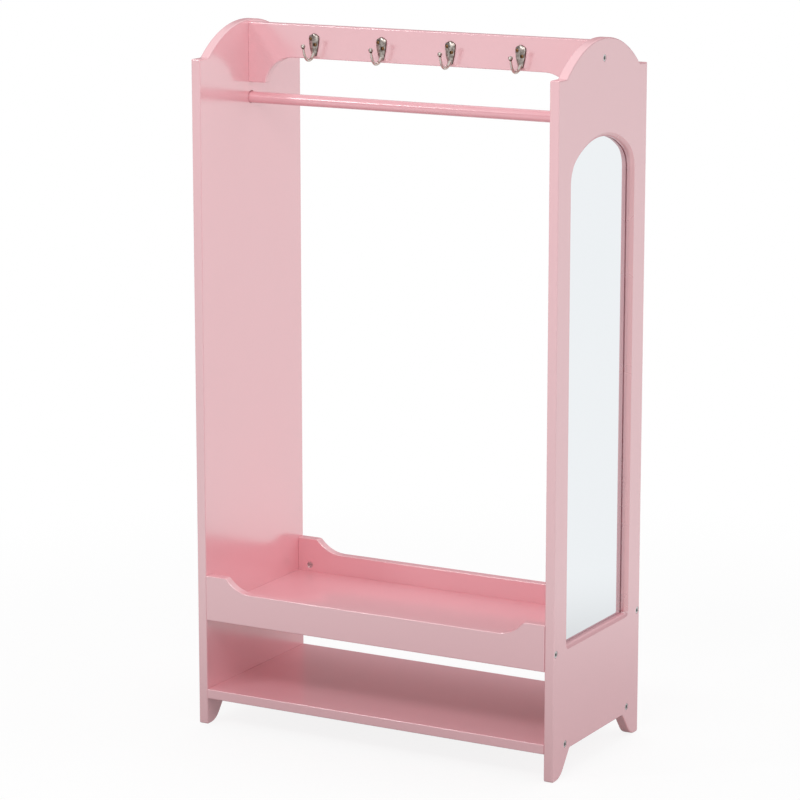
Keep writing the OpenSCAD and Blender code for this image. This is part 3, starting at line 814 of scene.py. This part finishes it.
def clip():
    """A strip with rounded corners, pierced for its screw, w = 0 on the panel."""
    strip = oblong((CLIP_IN + CLIP_OUT) / 2, CLIP_W / 2, 2 * MM) + ((CLIP_OUT - CLIP_IN) / 2, 0)
    hole = circle((HOLE_OUT, 0), CLIP_HOLE_R, 24)
    share, depths = edge_profile(CLIP_EASED, CLIP_T, 2)
    shell = Shell()
    loops = [inset(strip, CLIP_EASED * k) for k in share]
    shell.skin(level_rings(loops, depths))
    shell.skin(level_rings([hole, hole], [0, CLIP_T]))
    shell.cap([loops[0], hole], 0)
    shell.cap([loops[0], hole], CLIP_T)
    return shell


clip_shell = clip()
clip_screw = screw(radius=2.8 * MM, high=1.6 * MM, shank=1.5 * MM, deep=10 * MM)
clips = [(clip_shell, on_clip(*spot)) for spot in clip_places()]
screws = []
for side, y, z, turn in clip_places():
    y, z = y + HOLE_OUT * math.cos(turn), z + HOLE_OUT * math.sin(turn)
    screws.append((clip_screw, on_clip(side, y, z, turn + CROSS_TURN, CLIP_T)))
piece("mirror_clip_strips", clips, zinc, ["mirror_clips"])
piece("clip_screw_heads", screws, zinc, ["mirror_clip_screws"])

# %% [markdown]
# ## Coat hooks
# Each hook is one small casting: a crested plate like a slim shield, and a prong that leaves its
# foot, turns under and climbs to a ball. The plate is a height worked out over its outline,
# highest along the middle and falling to thin sides, with two flat seats sunk for the screws.
# The prong is a circle carried round the bend, with its radius changing along the way.

# %% The plate's outline and height
PLATE_W, PLATE_H, PLATE_T = 8.5 * MM, 17 * MM, 4.6 * MM
SEATS = np.array([(-4.505, 9.01), (3.23, 0.51)]) * MM
SEAT_W, SEAT_R = 2.6 * MM, 2.75 * MM
CREST_SOFT, CREST_DIP, FALL, SIDE_T = 0.012, 1.3 * MM, 2.5 * MM, 1.7 * MM


def smooth_run(a, b, c, d, pieces):
    """Catmull-Rom curve from b to c, for each row of the four arrays: with t from 0 to 1, half
    of 2b + (c - a) t + (2a - 5b + 4c - d) t t + (3b - a - 3c + d) t t t."""
    a, b, c, d = (p[:, None] for p in (a, b, c, d))
    t = (np.arange(pieces) / pieces)[None, :, None]
    curve = (2 * b + (c - a) * t + (2 * a - 5 * b + 4 * c - d) * t**2
             + (3 * b - a - 3 * c + d) * t**3)
    return (curve / 2).reshape(-1, b.shape[-1])


def smooth_loop(corners, pieces=6):
    """The curve through a closed loop of corners."""
    return smooth_run(*(np.roll(corners, k, 0) for k in (1, 0, -1, -2)), pieces)


def smooth_path(corners, pieces=6):
    """The curve through an open run of corners, with its two ends counted twice."""
    padded = np.vstack([corners[:1], corners, corners[-1:]])
    spans = len(corners) - 1
    return np.vstack([smooth_run(*(padded[k:k + spans] for k in range(4)), pieces), corners[-1:]])


# the plate's corners, as shares of half its width and half its height
SHIELD = np.array([(0.32, -0.985), (0.5, -0.84), (0.8, -0.24), (0.95, 0.3), (0.985, 0.56),
                   (0.9, 0.76), (0.54, 0.89), (0.0, 0.99)])
TIP_WIDE = 0.2


def shield():
    """The plate seen from the front: a low point on top, square shoulders and a narrow foot."""
    right = SHIELD * (PLATE_W, PLATE_H)
    return smooth_loop(np.vstack([right, right[-2::-1] * (-1, 1)]))


def half_width(v):
    """Half the plate's width at each height, and never quite nothing at the tip."""
    return np.interp(v, SHIELD[:, 1] * PLATE_H, np.maximum(SHIELD[:, 0], TIP_WIDE) * PLATE_W)


def plate_height(p):
    """Crest minus the fall to the sides: (u / half width), softened at the crest by a root, to
    the power 1.3. The crest itself dips towards the plate's two tips."""
    u, v = p.T
    across = np.sqrt((u / half_width(v)) ** 2 + CREST_SOFT)
    crest = PLATE_T - CREST_DIP * np.abs(v / PLATE_H) ** 3
    return np.maximum(crest - FALL * np.clip(across, 0, 1) ** 1.3, SIDE_T)


# %% Cast a plate
PLATE_EASED, SEAT_CLEAR, STAINED = 0.35 * MM, 0.3 * MM, -1.0


def plate(shell):
    """Adds the back, the thin sides, the crested front and the two seats."""
    edge = shield()
    ring = inset(edge, PLATE_EASED)
    lower = plate_height(edge) - PLATE_EASED
    shell.cap([edge], 0)
    shell.skin(np.stack([np.column_stack([edge, np.zeros(len(edge))]),
                         np.column_stack([edge, lower]),
                         np.column_stack([ring, plate_height(ring)])]), worked=STAINED)
    across, up = np.meshgrid(np.linspace(-0.92, 0.92, 19), np.linspace(-0.95, 0.95, 44) * PLATE_H)
    spare = np.column_stack([(across * half_width(up)).ravel(), up.ravel()])
    clear = np.min([np.linalg.norm(spare - seat, axis=1) for seat in SEATS], axis=0)
    spare = spare[clear > SEAT_R + SEAT_CLEAR]
    rims = [circle(seat, SEAT_R, 24) for seat in SEATS]
    shell.relief([ring, *rims], plate_height, [spare])
    for rim in rims:
        shell.skin(np.stack([np.column_stack([rim, plate_height(rim)]),
                             np.column_stack([rim, np.minimum(plate_height(rim), SEAT_W)])]),
                   worked=STAINED)
        shell.relief([rim], lambda p: np.minimum(plate_height(p), SEAT_W), worked=STAINED)


# %% Bend a prong
BALL_R, BALL_AT, LEAN = 3.5 * MM, np.array([33.0, 0.3]) * MM, math.radians(14)
# how far out, how far up and how thick the prong is, from the plate's foot to the ball's neck
PRONG = np.array([(1.0, -12.5, 2.9), (4.5, -16.4, 2.8), (9.5, -20.1, 2.5),
                  (15.5, -21.6, 2.3), (21.6, -20.2, 2.2), (26.4, -16.4, 2.1),
                  (29.5, -11.5, 2.0), (31.4, -6.0, 1.85)]) * MM
NECK_R = 1.7 * MM
# how far each part of it is worked: the prong polished, the ball polished less, which darkens it
# as painted shade, and the neck between stained, patina with painted shade under the ball
PRONG_POLISH, NECK_STAIN_AND_SHADE, BALL_SHADED_POLISH = 0.85, -0.9, 0.45


def prong(shell):
    """Circles carried along a smooth path, each in the plane across it. The ball's circles have
    radius R sin b at R cos b above its middle, with b from the neck to its top."""
    up = np.array([math.sin(LEAN), math.cos(LEAN)])
    start = math.pi - math.asin(NECK_R / BALL_R)
    neck = BALL_AT + up * BALL_R * math.cos(start)
    bend = smooth_path(np.vstack([PRONG, [*neck, NECK_R]]))
    b = np.linspace(start, 0, 14)[1:]
    middle = np.vstack([bend[:1, :2], bend[:, :2], BALL_AT + np.outer(BALL_R * np.cos(b), up)])
    radius = np.concatenate([[0], bend[:, 2], BALL_R * np.sin(b)]) + NO_RADIUS
    along = np.gradient(middle[1:], axis=0)
    along = np.vstack([along[:1], along])
    along /= np.linalg.norm(along, axis=1)[:, None]
    a = np.linspace(0, 2 * math.pi, 25)[:-1]
    aside = np.outer(radius, np.cos(a))
    across = np.outer(radius, np.sin(a))
    rings = np.stack([aside,
                      middle[:, 1:] + across * along[:, :1],
                      middle[:, :1] - across * along[:, 1:]], -1)
    ball = len(bend) + 1
    shell.skin(rings[:ball - 2], PRONG_POLISH)
    shell.skin(rings[ball - 3:ball + 4], NECK_STAIN_AND_SHADE)
    shell.skin(rings[ball + 3:], BALL_SHADED_POLISH)


# %% Hang the four hooks
HOOK_Z = 1035 * MM
hook_xs = 2 * HALF_IN / 5 * np.array([-1.5, -0.5, 0.5, 1.5])


def on_rail(x, z, out=0.0):
    """A hook's own axes: u to the right, v up and w out from the rail's face."""
    return lambda u, v, w: (x + u, -BOARD / 2 - out - w, z + v)


casting = Shell()
plate(casting)
prong(casting)
for k, x in enumerate(hook_xs, 1):
    hook = [(casting, on_rail(x, HOOK_Z))]
    piece(f"coat_hook_{k}", hook, hook_finish, [f"hook_{k}"])

hook_screw = screw(radius=2.6 * MM, high=1.7 * MM, shank=1.5 * MM, deep=13 * MM)
heads = [(hook_screw, on_rail(x + u, HOOK_Z + v, SEAT_W)) for x in hook_xs for u, v in SEATS]
piece("hook_screw_heads", heads, brass, ["hook_screws"])

# %% [markdown]
# ## Fittings that stay as the frame has them
# The connector bolts with their hexagon sockets, the slotted barrel nuts and the dowels already
# have their true shape in the frame, so they only get their finish.

# %% Finish the fittings
FITTINGS = {"bolts": zinc, "nuts": zinc, "dowels": beech}
for name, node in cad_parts.items():
    fitting = FITTINGS.get(name.split("_")[-1])
    if fitting:
        node.data.materials.clear()
        node.data.materials.append(fitting)

# %% [markdown]
# ## Floor, light and camera
# The picture was taken in a white studio that is brightest behind the unit. So the world's light
# grows towards the back and the right, and it is pure white to the camera. One small softbox high
# on the left draws the shadows, and a larger one in front fills them. The floor shows as white
# and keeps a trace of the unit's shadow.


# %% Lay the floor
def ray(recipe, kind):
    """1 for rays of one kind: Camera, Glossy or Transmission."""
    return recipe.node("ShaderNodeLightPath", output=f"Is {kind} Ray")


def grows(recipe, value, near, far):
    """A smooth step from 0 where the value is near to 1 where it is far."""
    step = {"Value": value, "From Min": near, "From Max": far}
    return recipe.node("ShaderNodeMapRange", {"interpolation_type": "SMOOTHSTEP"}, step)


FLOOR_REACH = 25.0
WHITE, FLOOR_TONE = (1, 1, 1, 1), (0.5, 0.5, 0.5, 1)
# how white the floor is, the least and its growth with distance: as seen, and as mirrored
SEEN_WHITE, GLOSSY_WHITE = (0.86, 0.14), (0.3, 0.7)

floor_mesh = bpy.data.meshes.new("floor")
corners = np.array([(-1, -1, 0), (1, -1, 0), (1, 1, 0), (-1, 1, 0)]) * FLOOR_REACH
floor_mesh.from_pydata(corners, [], [(0, 1, 2, 3)])
floor = bpy.data.objects.new("floor", floor_mesh)
scene.collection.objects.link(floor)
floor_finish = bpy.data.materials.new("Pale floor")
recipe = Recipe(floor_finish)
seen = ray(recipe, "Camera") + ray(recipe, "Transmission")
away = recipe.node(
    "ShaderNodeVectorMath", {"operation": "LENGTH"}, {0: recipe.place()}, output="Value"
)
# Near the unit the floor glows less, so its real shadow shows; in reflections it is darker there
# too, a painted shade round the unit.
open_floor, swept_floor = grows(recipe, away, 0.7, 1.6), grows(recipe, away, 0.3, 1.25)
tone = recipe.mix(FLOOR_TONE, WHITE, seen)
matt = recipe.node("ShaderNodeBsdfDiffuse", None, {"Color": tone})
glow = recipe.node("ShaderNodeEmission", None, {"Color": WHITE, "Strength": 1.0})
share = (seen * (open_floor * SEEN_WHITE[1] + SEEN_WHITE[0])
         + ray(recipe, "Glossy") * (swept_floor * GLOSSY_WHITE[1] + GLOSSY_WHITE[0]))
both = recipe.node("ShaderNodeMixShader", None, {0: share, 1: matt, 2: glow})
recipe.node("ShaderNodeOutputMaterial", None, {"Surface": both})
floor_mesh.materials.append(floor_finish)

# %% Light the studio
# the world's light is LEVEL plus direction . BACKLIGHT, and only REFLECTED in reflections
BACKLIGHT, LEVEL, REFLECTED = (0.17, 0.48, 0.0), 0.76, 0.22
UNIT_MIDDLE = (0, 0, 0.8)

world = bpy.data.worlds.new("White studio")
scene.world = world
recipe = Recipe(world)
toward = recipe.node("ShaderNodeTexCoord", output="Generated")
height = recipe.node("ShaderNodeSeparateXYZ", None, {0: toward}, output="Z")
walls = recipe.node("ShaderNodeVectorMath", {"operation": "DOT_PRODUCT"},
                    {0: toward, 1: BACKLIGHT}, output="Value") + LEVEL
overhead, glossy = grows(recipe, height, 0.28, 0.75), ray(recipe, "Glossy")
seen = ray(recipe, "Camera") + ray(recipe, "Transmission") + glossy * overhead
glow = walls + glossy * (REFLECTED - walls)
light = recipe.node("ShaderNodeBackground", None, {"Color": WHITE, "Strength": glow})
white = recipe.node("ShaderNodeBackground", None, {"Color": WHITE, "Strength": 1.0})
sky = recipe.node("ShaderNodeMixShader", None, {0: seen, 1: light, 2: white})
recipe.node("ShaderNodeOutputWorld", None, {"Surface": sky})


def aimed(place, target):
    """Matrix of something at a place whose -Z looks at the target, with Z up."""
    turn = (Vector(target) - Vector(place)).to_track_quat("-Z", "Y")
    return Matrix.Translation(place) @ turn.to_matrix().to_4x4()


def softbox(name, place, size, power):
    """A square area lamp that faces the middle of the unit."""
    lamp = bpy.data.lights.new(name, "AREA")
    lamp.size, lamp.energy = size, power
    obj = bpy.data.objects.new(name, lamp)
    obj.matrix_world = aimed(place, UNIT_MIDDLE)
    scene.collection.objects.link(obj)


softbox("left softbox", place=(-1.3, -1.7, 2.0), size=0.35, power=6.9)
softbox("near softbox", place=(0.27, -1.2, 1.6), size=0.6, power=6.8)

# %% Stand the camera where the photograph was taken
CAMERA_AT, CAMERA_AIM = (2.3434, -4.2842, 1.5370), (-0.0246, -0.0112, 0.5103)
FOCAL_LENGTH, SENSOR = 149.81, 36

lens = bpy.data.cameras.new("camera")
lens.lens, lens.sensor_width = FOCAL_LENGTH, SENSOR
camera = bpy.data.objects.new("camera", lens)
camera.matrix_world = aimed(CAMERA_AT, CAMERA_AIM)
scene.collection.objects.link(camera)
scene.camera = camera
scene.view_settings.view_transform = "Standard"
